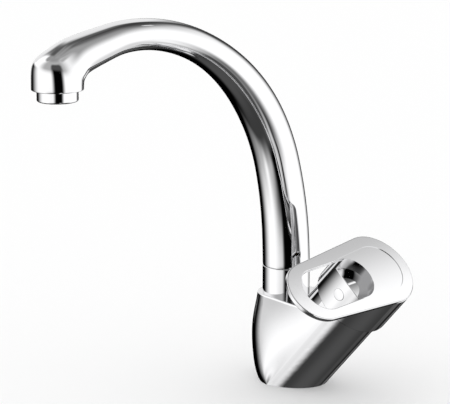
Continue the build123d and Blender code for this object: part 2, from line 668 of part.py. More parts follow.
def loop_handle():
    """Cup-shaped hub with its finger loop, socket and screw hole."""
    plate = extrude(tangent_hull(PLATE_HUB_R, PLATE_HUB_U, PLATE_END_R, PLATE_END_U), PLATE_THICKNESS)
    plate = fillet(plate.edges().group_by(Axis.Z)[-1] + plate.edges().group_by(Axis.Z)[0], PLATE_ROUND)
    hub = disc(HUB_R, HUB_BOTTOM, PLATE_BOTTOM + PLATE_THICKNESS / 2)
    hub = fillet(hub.edges().group_by(Axis.Z)[0] + hub.edges().group_by(Axis.Z)[-1], HUB_ROUND)
    handle = hub + Pos(0, 0, PLATE_BOTTOM) * plate
    arch = Pos(0, 0, NOTCH_FLOOR - NOTCH_ARCH_R) * Rot(0, 90, 0) * Cylinder(NOTCH_ARCH_R, WORK_SIZE)
    hole = stadium(HOLE_R, HOLE_NEAR_U, HOLE_FAR_U, PLATE_TOP - 2 * HOLE_R, PLATE_TOP + CUT_OVER)
    handle -= hole - arch
    side = HOLE_R + SEAT_GAP
    end = HOLE_FAR_U + side
    handle = fillet(edges_inside(handle, (0, -side, PLATE_TOP - SEAT_GAP),
                                 (end, side, PLATE_TOP + SEAT_GAP)), LOOP_ROUND)
    handle = fillet(edges_inside(handle, (HUB_R - HOLE_R / 2, -side, NOTCH_FLOOR - HOLE_R / 2),
                                 (HUB_R + SEAT_GAP, side, NOTCH_FLOOR + SEAT_GAP)), LOOP_ROUND)
    handle = fillet(edges_inside(handle, (HOLE_NEAR_U - SEAT_GAP, -side, PLATE_BOTTOM - SEAT_GAP),
                                 (end, side, PLATE_BOTTOM + SEAT_GAP)), LOOP_ROUND)
    recess = extrude(tangent_hull(RECESS_HUB_R, 0, RECESS_END_R, HOLE_NEAR_U), RECESS_DEPTH + CUT_OVER)
    handle -= Pos(0, 0, PLATE_TOP - RECESS_DEPTH) * recess
    handle -= disc(HUB_R - HUB_WALL, HUB_BOTTOM - CUT_OVER, HUB_CEILING)
    relief = Box(WORK_SIZE, WORK_SIZE, WORK_SIZE, align=(Align.MAX, Align.CENTER, Align.MAX))
    handle -= Pos(-RELIEF_START, 0, HUB_BOTTOM) * Rot(0, RELIEF_ANGLE, 0) * relief
    handle -= block(STEM_THICKNESS + SEAT_GAP, STEM_WIDTH + SEAT_GAP, HUB_CEILING - CUT_OVER,
                    STEM_TOP + SEAT_GAP)
    grub_hole = Pos(0, 0, GRUB_S) * Rot(0, 90, 0)
    handle -= grub_hole * disc(GRUB_R + SHAFT_GAP, 0, HUB_R)
    handle -= grub_hole * disc(PLUG_R + SHAFT_GAP, HUB_R - PLUG_THICKNESS, HUB_R + CUT_OVER)
    return HANDLE * handle


def grub_screw():
    """Hexagon socket grub screw against the stem."""
    start = STEM_THICKNESS / 2 + DISC_FILM
    end = start + GRUB_LENGTH
    screw = disc(GRUB_R, start, end)
    screw -= Pos(0, 0, end - GRUB_KEY_DEPTH) * extrude(
        RegularPolygon(GRUB_KEY_R, 6), GRUB_KEY_DEPTH + CUT_OVER)
    return HANDLE * Pos(0, 0, GRUB_S) * Rot(0, 90, 0) * screw


def index_plug():
    """Round plug flush with the hub, over the grub screw."""
    plug = Pos(0, 0, GRUB_S) * Rot(0, 90, 0) * disc(PLUG_R, HUB_R - PLUG_THICKNESS, HUB_R + CUT_OVER)
    return HANDLE * (plug & disc(HUB_R, GRUB_S - 2 * PLUG_R, GRUB_S + 2 * PLUG_R))


# Write every piece under its own name

PIECES = {
    "body_casting": body_casting,
    "base_gasket": base_gasket,
    "retaining_collar": retaining_collar,
    "spout": spout,
    "retaining_ring": retaining_ring,
    "glide_ring": glide_ring,
    "aerator_housing": aerator_housing,
    "aerator_insert": aerator_insert,
    "aerator_mesh": aerator_mesh,
    "aerator_washer": aerator_washer,
    "cartridge_base": cartridge_base,
    "fixed_ceramic_disc": fixed_ceramic_disc,
    "moving_ceramic_disc": moving_ceramic_disc,
    "disc_carrier": disc_carrier,
    "cartridge_housing": cartridge_housing,
    "turret": turret,
    "stem_pin": stem_pin,
    "lever_stem": lever_stem,
    "retaining_nut": retaining_nut,
    "dome_cover": dome_cover,
    "loop_handle": loop_handle,
    "grub_screw": grub_screw,
    "index_plug": index_plug,
}

for piece_name, make in PIECES.items():
    export_step(make(), f"parts/{piece_name}.step")
for index in range(2):
    export_step(shank_o_ring(index), f"parts/shank_o_ring_{index + 1}.step")
for port_name, port_angle in zip(PORT_NAMES, PORT_ANGLES):
    export_step(port_seal(port_angle), f"parts/port_seal_{port_name}.step")
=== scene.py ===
import logging
import math
from dataclasses import dataclass
from enum import Enum

import bmesh
import bpy
from mathutils import Matrix


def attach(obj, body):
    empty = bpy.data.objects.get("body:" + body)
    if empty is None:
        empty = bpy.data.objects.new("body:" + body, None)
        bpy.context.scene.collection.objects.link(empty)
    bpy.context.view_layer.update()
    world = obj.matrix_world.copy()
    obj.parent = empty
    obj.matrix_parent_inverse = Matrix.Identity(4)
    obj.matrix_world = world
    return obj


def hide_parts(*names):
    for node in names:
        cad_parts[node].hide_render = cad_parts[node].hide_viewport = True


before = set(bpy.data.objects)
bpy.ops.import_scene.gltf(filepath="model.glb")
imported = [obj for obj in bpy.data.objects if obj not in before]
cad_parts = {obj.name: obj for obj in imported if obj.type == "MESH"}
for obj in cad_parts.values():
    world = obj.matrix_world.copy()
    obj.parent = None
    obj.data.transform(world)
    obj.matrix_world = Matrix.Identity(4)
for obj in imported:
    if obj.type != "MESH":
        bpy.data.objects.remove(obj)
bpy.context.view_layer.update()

logging.basicConfig(level=logging.INFO, format="%(message)s")
LOG = logging.getLogger("mixer_tap")
MM = 0.001
# Where the camera looks, in degrees from +X.
VIEW_AZIMUTH = 135.0
# Faces that meet at a smaller angle are shaded as one surface.
SMOOTH_ANGLE = math.radians(40)
# Length of one wave of Blender's wave texture at scale 1.
WAVE_LENGTH = 2 * math.pi / 20


def linear(tone: str) -> tuple[float, float, float, float]:
    """Turns an sRGB hex colour into linear red, green, blue and alpha.

    Args:
        tone: colour as "#rrggbb".
    Returns:
        Linear colour with alpha 1.
    """
    parts = []
    for start in (1, 3, 5):
        value = int(tone[start:start + 2], 16) / 255
        parts.append(value / 12.92 if value <= 0.04045 else ((value + 0.055) / 1.055) ** 2.4)
    return (*parts, 1.0)


def add_node(tree: bpy.types.NodeTree, kind: str, inputs: dict | None = None,
             **settings: object) -> bpy.types.Node:
    """Adds a node with its settings, and values or links for its inputs.

    Args:
        tree: node tree that gets the node.
        kind: Blender's name of the node type.
        inputs: value, or output socket to link, by input name or number.
        settings: properties of the node.
    Returns:
        The new node.
    """
    node = tree.nodes.new(kind)
    for name, value in settings.items():
        setattr(node, name, value)
    for key, value in (inputs or {}).items():
        socket = node.inputs[key]
        if isinstance(value, bpy.types.NodeSocket):
            tree.links.new(value, socket)
        else:
            socket.default_value = value
    return node


def per_mm(size: float) -> float:
    """Gives the texture scale whose pattern repeats about every size millimetres."""
    return 1 / (size * MM)


@dataclass(frozen=True)
class Finish:
    """A surface finish: its name, colour and gloss, and how its pattern is laid."""

    name: str
    tone: str
    metallic: float
    roughness: float

    def shader(self, tree: bpy.types.NodeTree) -> bpy.types.Node:
        """Adds the principled shader with its uniform values set directly."""
        return add_node(tree, "ShaderNodeBsdfPrincipled", {
            "Base Color": linear(self.tone), "Metallic": self.metallic, "Roughness": self.roughness})

    def place(self, tree: bpy.types.NodeTree) -> bpy.types.NodeSocket:
        """Adds object coordinates, in metres, for the finish's pattern."""
        return add_node(tree, "ShaderNodeTexCoord").outputs["Object"]

    def pattern(self, tree: bpy.types.NodeTree, shader: bpy.types.Node) -> None:
        """Adds what varies over the surface. The plain finish has nothing."""

    def material(self) -> bpy.types.Material:
        """Builds the material.

        Returns:
            A node material named for the finish.
        """
        made = bpy.data.materials.new(self.name)
        made.use_nodes = True
        tree = made.node_tree
        tree.nodes.clear()
        shader = self.shader(tree)
        self.pattern(tree, shader)
        add_node(tree, "ShaderNodeOutputMaterial", {"Surface": shader.outputs["BSDF"]})
        made.diffuse_color = linear(self.tone)
        made.metallic = self.metallic
        made.roughness = self.roughness
        return made


@dataclass(frozen=True)
class ChromePlate(Finish):
    """Bright chromium plate on polished brass: mirror gloss, with the faint haze that buffing leaves."""

    haze: float = 0.035
    haze_size: float = 22.0
    ripple_size: float = 9.0
    ripple_height: float = 0.0006

    def pattern(self, tree: bpy.types.NodeTree, shader: bpy.types.Node) -> None:
        """Adds a cloudy haze to the gloss and the buffing's slow ripple to the surface.

        Args:
            tree: the material's node tree.
            shader: shader that takes the pattern.
        """
        place = self.place(tree)
        clouds = add_node(tree, "ShaderNodeTexNoise", {
            "Vector": place, "Scale": per_mm(self.haze_size), "Detail": 4.0, "Roughness": 0.6})
        gloss = add_node(tree, "ShaderNodeMapRange", {
            "Value": clouds.outputs["Fac"], "From Min": 0.35, "From Max": 0.75,
            "To Min": self.roughness, "To Max": self.roughness + self.haze})
        tree.links.new(gloss.outputs["Result"], shader.inputs["Roughness"])
        swell = add_node(tree, "ShaderNodeTexNoise", {
            "Vector": place, "Scale": per_mm(self.ripple_size), "Detail": 1.0})
        bump = add_node(tree, "ShaderNodeBump", {
            "Height": swell.outputs["Fac"], "Strength": 0.12, "Distance": self.ripple_height * MM})
        tree.links.new(bump.outputs["Normal"], shader.inputs["Normal"])


@dataclass(frozen=True)
class TurnedBrass(Finish):
    """Bare brass from the lathe: a warm metal with tool marks round the cartridge's slanted axis."""

    lean: float = 42.5
    # Some ten times the real pitch, so that the marks show.
    mark_pitch: float = 3.77

    def pattern(self, tree: bpy.types.NodeTree, shader: bpy.types.Node) -> None:
        """Adds the turning marks.

        Args:
            tree: the material's node tree.
            shader: shader that takes the pattern.
        """
        turned = add_node(tree, "ShaderNodeMapping", {
            "Vector": self.place(tree), "Rotation": (0.0, -math.radians(self.lean), 0.0)})
        rings = add_node(tree, "ShaderNodeTexWave", {
            "Vector": turned.outputs["Vector"], "Scale": WAVE_LENGTH * per_mm(self.mark_pitch),
            "Distortion": 1.2, "Detail": 2.0}, wave_type="RINGS", rings_direction="Z")
        bump = add_node(tree, "ShaderNodeBump", {
            "Height": rings.outputs["Fac"], "Strength": 0.3, "Distance": 0.02 * MM})
        tree.links.new(bump.outputs["Normal"], shader.inputs["Normal"])


@dataclass(frozen=True)
class Speckled(Finish):
    """A finish whose colour, gloss and surface vary in fine grains, as cast, moulded and lapped ones do."""

    grain: float = 0.5
    second_tone: str = "#808080"
    gloss_spread: float = 0.1
    bump_depth: float = 0.02
    bump_strength: float = 0.3
    grains_per_patch: float = 30.0

    def pattern(self, tree: bpy.types.NodeTree, shader: bpy.types.Node) -> None:
        """Adds grains to the colour, the gloss and the surface.

        Args:
            tree: the material's node tree.
            shader: shader that takes the pattern.
        """
        place = self.place(tree)
        grains = add_node(tree, "ShaderNodeTexNoise", {
            "Vector": place, "Scale": per_mm(self.grain), "Detail": 6.0, "Roughness": 0.65})
        patches = add_node(tree, "ShaderNodeTexNoise", {
            "Vector": place, "Scale": per_mm(self.grain * self.grains_per_patch), "Detail": 2.0})
        both = add_node(tree, "ShaderNodeMath", {
            0: grains.outputs["Fac"], 1: patches.outputs["Fac"]}, operation="MULTIPLY")
        share = add_node(tree, "ShaderNodeMapRange", {
            "Value": both.outputs[0], "From Min": 0.12, "From Max": 0.42})
        tone = add_node(tree, "ShaderNodeMix", {
            "Factor": share.outputs["Result"], 6: linear(self.tone), 7: linear(self.second_tone)},
            data_type="RGBA")
        gloss = add_node(tree, "ShaderNodeMapRange", {
            "Value": grains.outputs["Fac"], "From Min": 0.3, "From Max": 0.7,
            "To Min": self.roughness, "To Max": self.roughness + self.gloss_spread})
        bump = add_node(tree, "ShaderNodeBump", {
            "Height": grains.outputs["Fac"], "Strength": self.bump_strength,
            "Distance": self.bump_depth * MM})
        tree.links.new(tone.outputs[2], shader.inputs["Base Color"])
        tree.links.new(gloss.outputs["Result"], shader.inputs["Roughness"])
        tree.links.new(bump.outputs["Normal"], shader.inputs["Normal"])


class Slot(Enum):
    """The model's material slots, each with its finish."""

    # Chromium plate over polished brass: a neutral mirror, a touch hazy where the buff left it.
    CHROME = ChromePlate("bright chrome plate", "#e3e3e4", 1.0, 0.012)
    # Bare turned brass: warm yellow metal, dulled by fine tool marks.
    BRASS = TurnedBrass("bare turned brass", "#c9a35a", 1.0, 0.28)
    # Cold-drawn stainless steel: grey metal, satin from drawing and tumbling.
    STEEL = Speckled("drawn stainless steel", "#a9a9ab", 1.0, 0.26, 0.3, "#98989b", 0.12, 0.008, 0.2)
    # Sintered alumina, lapped flat: ivory white, nearly polished, with tiny grey pores.
    CERAMIC = Speckled("lapped alumina ceramic", "#e6e3dc", 0.0, 0.12, 0.25, "#d5d1c8", 0.1, 0.004, 0.15)
    # Injection-moulded acetal: waxy white, softly matt.
    ACETAL = Speckled("moulded white acetal", "#eaeae4", 0.0, 0.38, 0.8, "#dededa", 0.12, 0.015, 0.25)
    # Glass-filled nylon moulding: dark grey with faint lighter fibre flecks.
    HOUSING = Speckled("glass-filled grey nylon", "#40424a", 0.0, 0.45, 0.6, "#54565c", 0.15, 0.03, 0.35)
    # Compression-moulded nitrile rubber: black, matt, slightly dusty.
    RUBBER = Speckled("black nitrile rubber", "#0e0e0f", 0.0, 0.62, 0.7, "#1c1c1d", 0.15, 0.03, 0.4)

    @property
    def label(self) -> str:
        """The slot's name in lower case."""
        return self.name.lower()


class Dresser:
    """Holds each slot's material and puts it on nodes and pieces."""

    def __init__(self) -> None:
        """Builds one material per slot."""
        self.materials = {slot: slot.value.material() for slot in Slot}

    def node(self, slot: Slot, *names: str) -> None:
        """Dresses CAD nodes.

        Args:
            slot: slot whose finish they take.
            names: the nodes.
        """
        for name in names:
            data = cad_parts[name].data
            data.materials.clear()
            data.materials.append(self.materials[slot])
            LOG.info("%s: %s", name, slot.value.name)

    def piece(self, piece: bpy.types.Object, slot: Slot, body: str, *replaced: str) -> None:
        """Dresses a new piece, lets it ride on its body and hides the nodes that it stands for.

        Args:
            piece: the new piece.
            slot: slot whose finish it takes.
            body: body that it moves with.
            replaced: nodes that it replaces.
        """
        piece.data.materials.clear()
        piece.data.materials.append(self.materials[slot])
        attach(piece, body)
        if replaced:
            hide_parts(*replaced)
        faces = len(piece.data.polygons)
        LOG.info("%s: %s, new piece with %d faces", piece.name, slot.value.name, faces)


@dataclass(frozen=True)
class Ring:
    """An oval ring of a swept surface: its middle's reach and height, its tilt, and its half sizes."""

    reach: float
    height: float
    tilt: float
    half_width: float
    half_height: float
    sharp: bool = False

    @property
    def inner(self) -> tuple[float, float]:
        """Reach and height of the ring's end on the inside of the bend."""
        turn = math.radians(self.tilt)
        along, down = self.half_height * math.cos(turn), self.half_height * math.sin(turn)
        return self.reach + along, self.height - down

    @property
    def outer(self) -> tuple[float, float]:
        """Reach and height of the ring's end on the outside of the bend."""
        turn = math.radians(self.tilt)
        along, down = self.half_height * math.cos(turn), self.half_height * math.sin(turn)
        return self.reach - along, self.height + down


class RingSkin:
    """A closed surface through rings, bridged in order and smoothed by subdivision."""

    around: int = 40
    levels: int = 2

    def __init__(self, name: str, axis_x: float, rings: list[Ring]) -> None:
        """Notes what to build.

        Args:
            name: name of the piece.
            axis_x: X of the plane that the rings are centred on, in mm.
            rings: rings in order, the last one next to the first.
        """
        self.name = name
        self.axis_x = axis_x
        self.rings = rings
        # Subdivision pulls a ring in by this share of its radius, so its corners start further out.
        self.swell = 1 / (2 / 3 + math.cos(2 * math.pi / self.around) / 3)

    def add_ring(self, ring: Ring) -> None:
        """Adds one ring of edges, level and round, then squeezes and tilts it.

        Args:
            ring: the ring's place and sizes.
        """
        place = (self.axis_x * MM, -ring.reach * MM, ring.height * MM)
        bpy.ops.mesh.primitive_circle_add(
            vertices=self.around, radius=ring.half_width * self.swell * MM, fill_type="NOTHING",
            location=place)
        if bpy.context.object.mode != "EDIT":
            bpy.ops.object.transform_apply(location=True)
            bpy.ops.object.mode_set(mode="EDIT")
            bpy.ops.mesh.select_all(action="SELECT")
        bpy.ops.transform.resize(value=(1, ring.half_height / ring.half_width, 1), center_override=place)
        # With no window the operator turns the other way, hence the minus.
        bpy.ops.transform.rotate(value=-math.radians(ring.tilt), orient_axis="X", center_override=place)

    def select_rings(self, mesh: bpy.types.Mesh, *numbers: int) -> None:
        """Selects the edges of some rings, by the order in which their corners were added.

        Args:
            mesh: mesh in edit mode.
            numbers: the rings' places in the order, from 0.
        """
        bpy.ops.mesh.select_all(action="DESELECT")
        shape = bmesh.from_edit_mesh(mesh)
        shape.verts.index_update()
        for edge in shape.edges:
            first, last = (corner.index // self.around for corner in edge.verts)
            edge.select = first == last and first in numbers
        shape.select_flush(True)
        bmesh.update_edit_mesh(mesh)

    def build(self) -> bpy.types.Object:
        """Builds the piece.

        Returns:
            The finished object, at the origin.
        """
        bpy.ops.object.select_all(action="DESELECT")
        for ring in self.rings:
            self.add_ring(ring)
        piece = bpy.context.object
        piece.name = self.name
        count = len(self.rings)
        for number in range(count):
            self.select_rings(piece.data, number, (number + 1) % count)
            bpy.ops.mesh.bridge_edge_loops()
        self.select_rings(piece.data, *[n for n, ring in enumerate(self.rings) if ring.sharp])
        bpy.ops.transform.edge_crease(value=1.0)
        bpy.ops.mesh.select_all(action="SELECT")
        bpy.ops.mesh.normals_make_consistent(inside=False)
        bpy.ops.object.mode_set(mode="OBJECT")
        smooth = piece.modifiers.new("smooth", "SUBSURF")
        smooth.levels = smooth.render_levels = self.levels
        bpy.ops.object.modifier_apply(modifier=smooth.name)
        bpy.ops.object.shade_smooth_by_angle(angle=SMOOTH_ANGLE)
        return piece


@dataclass
class SwanNeck:
    """The swivelling spout: grooved shank, tapering tube with three bends, and its upright outlet."""

    axis_x: float = -8.56
    root_r: float = 16.85
    straight_top: float = 87.9
    bottom: float = 83.65
    # Tilt at each bend's end, and its radius.
    foot_bend: tuple[float, float] = (15.5, 263.5)
    crown_bend: tuple[float, float] = (80.6, 145.6)
    nose_bend: tuple[float, float] = (108.0, 133.1)
    # Tilt of the tube, then its radius and its bore as shares.
    stations: tuple[tuple[float, float, float], ...] = (
        (0, 1.0, 0.5), (2.5, 1.0, 0.58), (10.5, 0.965, 0.68), (15.5, 0.945, 0.74), (25, 0.925, 0.76),
        (35, 0.89, 0.77), (45, 0.82, 0.78), (55, 0.735, 0.78), (65, 0.667, 0.78), (80.6, 0.622, 0.78),
        (90, 0.628, 0.78), (99, 0.665, 0.78), (108, 0.745, 0.78))
    tube_step: float = 4.0
    outlet_reach: float = 212.5
    outlet_r: float = 16.85
    outlet_bottom: float = 236.7
    outlet_bend_r: float = 9.0
    head_top: tuple[float, float] = (206.9, 267.5)
    head_slope: float = 24.5
    corner_power: float = 30.0
    head_step: float = 4.0
    # Tilts between which neighbouring rings are evened out, and how often: the nose, then all of the head.
    easings: tuple[tuple[float, float, int], ...] = ((96, 136, 8), (100, 180, 2))
    edge_round: float = 0.35
    thread_r: float = 11.95
    socket_depth: float = 10.0
    shank_foot: float = 38.0
    shank_r: float = 11.7
    neck_r: float = 13.0
    neck_foot: float = 76.65
    groove_floor_r: float = 10.0
    groove_half: float = 1.15
    groove_heights: tuple[float, float] = (53.0, 44.0)
    # Floor radius, lower and upper edge.
    clip_groove: tuple[float, float, float] = (12.0, 76.8, 78.4)
    bore_r: float = 8.4
    # The bore's share shrinks by this much over this many degrees past the nose, and ends in the head.
    bore_shrink: float = 0.3
    shrink_span: float = 27.0
    bore_end: float = 136.0
    socket_step: float = 0.6

    def bend_point(self, tilt: float) -> tuple[float, float]:
        """Gives the tube's middle where it has turned to a tilt.

        Args:
            tilt: tilt of the tube in degrees.
        Returns:
            Reach and height in mm.
        """
        reach, height, start = 0.0, self.straight_top, 0.0
        for end, radius in (self.foot_bend, self.crown_bend, self.nose_bend):
            stop = min(tilt, end)
            if stop > start:
                low, high = math.radians(start), math.radians(stop)
                reach += radius * (math.cos(low) - math.cos(high))
                height += radius * (math.sin(high) - math.sin(low))
                start = stop
        return reach, height

    def share_at(self, tilt: float, column: int) -> float:
        """Gives a station's share at any tilt, on a smooth curve through the stations.

        Args:
            tilt: tilt of the tube in degrees.
            column: 1 for the radius, 2 for the bore.
        Returns:
            The share there.
        """
        rows = self.stations
        place = max(1, min(len(rows) - 1, sum(row[0] < tilt for row in rows)))
        before, low, high, after = (rows[max(0, min(len(rows) - 1, place + k))] for k in (-2, -1, 0, 1))
        gap = high[0] - low[0]
        slope_low = (high[column] - before[column]) / (high[0] - before[0])
        slope_high = (after[column] - low[column]) / (after[0] - low[0])
        t = (tilt - low[0]) / gap
        return ((2 * t ** 3 - 3 * t ** 2 + 1) * low[column] + (t ** 3 - 2 * t ** 2 + t) * gap * slope_low
                + (3 * t ** 2 - 2 * t ** 3) * high[column] + (t ** 3 - t ** 2) * gap * slope_high)

    def tube_rings(self) -> list[Ring]:
        """Gives the tube's rings.

        Returns:
            Rings from above the root to the nose.
        """
        steps = round(self.nose_bend[0] / self.tube_step)
        rings = []
        for number in range(steps + 1):
            tilt = self.nose_bend[0] * number / steps
            radius = self.root_r * self.share_at(tilt, 1)
            rings.append(Ring(*self.bend_point(tilt), tilt, radius, radius))
        return rings

    def head_ring(self, tilt: float) -> Ring:
        """Gives a ring of the outlet head, which fans about the inside of the last bend.

        Args:
            tilt: tilt of the ring in degrees.
        Returns:
            The ring, wide enough to reach the head's sloping top or its upright front.
        """
        middle_reach = self.outlet_reach - self.outlet_r - self.outlet_bend_r
        out = (-math.cos(math.radians(tilt)), math.sin(math.radians(tilt)))
        slope = math.radians(self.head_slope)
        top = (math.sin(slope), math.cos(slope))
        top_offset = ((self.head_top[0] - middle_reach) * top[0]
                      + (self.head_top[1] - self.outlet_bottom) * top[1])
        to_top = max(out[0] * top[0] + out[1] * top[1], 0) / top_offset
        to_front = out[0] / (2 * self.outlet_r + self.outlet_bend_r)
        far = (to_top ** self.corner_power + to_front ** self.corner_power) ** (-1 / self.corner_power)
        middle = (far + self.outlet_bend_r) / 2
        part = math.sin(math.radians(90 * (tilt - self.nose_bend[0]) / (180 - self.nose_bend[0])))
        nose_r = self.root_r * self.stations[-1][1]
        return Ring(middle_reach + out[0] * middle, self.outlet_bottom + out[1] * middle, tilt,
                    nose_r + (self.outlet_r - nose_r) * part, (far - self.outlet_bend_r) / 2)

    def eased(self, rings: list[Ring], low: float, high: float) -> list[Ring]:
        """Rounds the corners between neighbouring rings whose tilts lie between two values.

        Args:
            rings: rings from the root to the outlet.
            low: lowest tilt that changes, in degrees.
            high: highest tilt that changes.
        Returns:
            Rings whose ends lie on smoother lines.
        """
        changed = list(rings)
        for number in range(1, len(rings) - 1):
            before, here, after = rings[number - 1:number + 2]
            if not low < here.tilt < high:
                continue
            ends = []
            for side in ("inner", "outer"):
                a, b, c = (getattr(ring, side) for ring in (before, here, after))
                ends.append([(a[k] + 2 * b[k] + c[k]) / 4 for k in (0, 1)])
            across = (ends[1][0] - ends[0][0], ends[1][1] - ends[0][1])
            changed[number] = Ring(
                (ends[0][0] + ends[1][0]) / 2, (ends[0][1] + ends[1][1]) / 2,
                math.degrees(math.atan2(across[1], -across[0])),
                (before.half_width + 2 * here.half_width + after.half_width) / 4,
                math.hypot(*across) / 2)
        return changed

    def shank_rings(self) -> list[Ring]:
        """Gives the rings below the tube.

        Returns:
            Sharp rings down the neck and the grooved shank to the bore's mouth.
        """
        clip_r, clip_low, clip_high = self.clip_groove
        places = [(self.neck_r, self.bottom), (self.neck_r, clip_high), (clip_r, clip_high),
                  (clip_r, clip_low), (self.neck_r, clip_low), (self.neck_r, self.neck_foot),
                  (self.shank_r, self.neck_foot)]
        for middle in self.groove_heights:
            high, low = middle + self.groove_half, middle - self.groove_half
            places += [(self.shank_r, high), (self.groove_floor_r, high), (self.groove_floor_r, low),
                       (self.shank_r, low)]
        places += [(self.shank_r, self.shank_foot), (self.bore_r, self.shank_foot)]
        return [Ring(0, height, 0, radius, radius, sharp=True) for radius, height in places]

    def rings(self) -> list[Ring]:
        """Gives the whole spout's rings.

        Returns:
            Rings up the tube, down the outlet, back through the bore and round the shank.
        """
        nose = self.nose_bend[0]
        steps = round((180 - nose) / self.head_step)
        spread = (180 - nose) / steps
        head = [self.head_ring(nose + spread * number) for number in range(1, steps + 1)]
        skin = self.tube_rings() + head
        for low, high, passes in self.easings:
            for _ in range(passes):
                skin = self.eased(skin, low, high)
        low_rim = skin.pop()
        rim = self.outlet_bottom
        ends = [(self.outlet_r, rim + self.edge_round), (self.outlet_r - self.edge_round, rim)]
        outlet = [Ring(low_rim.reach, z, 180, r, r) for r, z in ends]
        socket = [(self.thread_r, rim), (self.thread_r, rim + self.socket_depth),
                  (self.bore_r - self.socket_step, rim + self.socket_depth)]
        outlet += [Ring(self.outlet_reach, z, 180, r, r, sharp=True) for r, z in socket]
        bore = []
        for number, ring in enumerate(skin):
            share = self.share_at(ring.tilt, 2)
            if ring.tilt > nose:
                past = min(1.0, (ring.tilt - nose) / self.shrink_span)
                share = self.stations[-1][2] - self.bore_shrink * past
            # The bore needs only every second ring.
            if ring.tilt <= self.bore_end and number % 2 == 0:
                bore.append(Ring(ring.reach, ring.height, ring.tilt, ring.half_width * share,
                                 ring.half_height * share))
        foot = [Ring(0, self.bottom, 0, self.root_r - self.edge_round, self.root_r - self.edge_round),
                Ring(0, self.bottom + self.edge_round, 0, self.root_r, self.root_r)]
        return foot + skin + outlet + bore[::-1] + self.shank_rings()[::-1]

    def build(self, dresser: Dresser) -> None:
        """Builds the spout in place of its CAD node, and dresses its rings and seals.

        Args:
            dresser: holder of the materials.
        """
        spout = RingSkin("swan_neck_spout", self.axis_x, self.rings()).build()
        dresser.piece(spout, Slot.CHROME, "swivel_spout", "spout")
        dresser.node(Slot.STEEL, "retaining_ring")
        dresser.node(Slot.ACETAL, "glide_ring")
        dresser.node(Slot.RUBBER, "shank_o_ring_1", "shank_o_ring_2")


@dataclass
class TapBody:
    """The cast body with its collar, dome trim and base seal."""

    def build(self, dresser: Dresser) -> None:
        """Dresses the body's nodes.

        Args:
            dresser: holder of the materials.
        """
        dresser.node(Slot.CHROME, "body_casting", "retaining_collar", "dome_cover")
        dresser.node(Slot.RUBBER, "base_gasket")


@dataclass
class Aerator:
    """The screwed ring below the outlet, with its flow regulator."""

    def build(self, dresser: Dresser) -> None:
        """Dresses the aerator's nodes.

        Args:
            dresser: holder of the materials.
        """
        dresser.node(Slot.CHROME, "aerator_housing")
        dresser.node(Slot.STEEL, "aerator_mesh")
        dresser.node(Slot.ACETAL, "aerator_insert")
        dresser.node(Slot.RUBBER, "aerator_washer")


@dataclass
class Cartridge:
    """The ceramic cartridge in the slanted barrel, and the nut that clamps it."""

    def build(self, dresser: Dresser) -> None:
        """Dresses the cartridge's nodes.

        Args:
            dresser: holder of the materials.
        """
        dresser.node(Slot.HOUSING, "cartridge_base", "cartridge_housing")
        dresser.node(Slot.RUBBER, "port_seal_cold", "port_seal_hot", "port_seal_mixed")
        dresser.node(Slot.CERAMIC, "fixed_ceramic_disc", "moving_ceramic_disc")
        dresser.node(Slot.ACETAL, "disc_carrier", "turret")
        dresser.node(Slot.STEEL, "stem_pin")
        dresser.node(Slot.BRASS, "lever_stem", "retaining_nut")


@dataclass
class LoopHandle:
    """The cup-shaped handle with its finger loop, and its index plug.

    Its own directions are along the loop, across it and up the cartridge's slanted axis.
    """

    lean: float = 42.5
    clock: float = 3.5
    foot_x: float = -8.83
    hub_r: float = 28.3
    plug_rise: float = 111.5
    plug_r: float = 4.3
    plug_proud: float = 0.12
    plug_length: float = 3.0
    plug_round: float = 0.3
    plug_corners: int = 64
    round_steps: int = 5

    def settle(self, piece: bpy.types.Object) -> None:
        """Turns a piece from the handle's own directions into the tap's, with its place in its mesh.

        Args:
            piece: the piece, at its place along, across and up the handle.
        """
        bpy.ops.object.select_all(action="DESELECT")
        piece.select_set(True)
        bpy.context.view_layer.objects.active = piece
        slant = Matrix.Rotation(math.radians(self.lean), 4, "Y")
        turn = Matrix.Rotation(math.radians(self.clock - 90), 4, "Z")
        piece.matrix_world = Matrix.Translation((self.foot_x * MM, 0, 0)) @ slant @ turn
        bpy.ops.object.transform_apply()

    def plug(self) -> bpy.types.Object:
        """Makes the plain round index plug, a little proud of the hub, with a rounded edge.

        Returns:
            The finished plug.
        """
        end = self.hub_r + self.plug_proud
        bpy.ops.mesh.primitive_cylinder_add(
            vertices=self.plug_corners, radius=self.plug_r * MM, depth=self.plug_length * MM,
            rotation=(0, math.pi / 2, 0),
            location=((end - self.plug_length / 2) * MM, 0, self.plug_rise * MM))
        plug = bpy.context.object
        plug.name = "domed_index_plug"
        bpy.ops.object.transform_apply()
        edge = plug.modifiers.new("edge", "BEVEL")
        edge.width = self.plug_round * MM
        edge.segments = self.round_steps
        edge.limit_method = "ANGLE"
        bpy.ops.object.modifier_apply(modifier=edge.name)
        self.settle(plug)
        bpy.ops.object.shade_smooth_by_angle(angle=SMOOTH_ANGLE)
        return plug

    def build(self, dresser: Dresser) -> None:
        """Builds the plug and dresses the handle's nodes.

        Args:
            dresser: holder of the materials.
        """
        dresser.node(Slot.CHROME, "loop_handle")
        dresser.node(Slot.STEEL, "grub_screw")
        dresser.piece(self.plug(), Slot.CHROME, "lever", "index_plug")


@dataclass(frozen=True)
class StudioCard:
    """A soft-edged card round the tap, placed by angles from the view, left and up positive.

    Its half sizes are in degrees, and each has the width of its soft edge.
    """

    name: str
    azimuth: float
    elevation: float
    half_width: float
    half_height: float
    soft_side: float
    soft_rise: float
    tone: str
    turn: float = 0.0


# Wide enough to close round the tap without a seam.
ALL_ROUND = 400.0
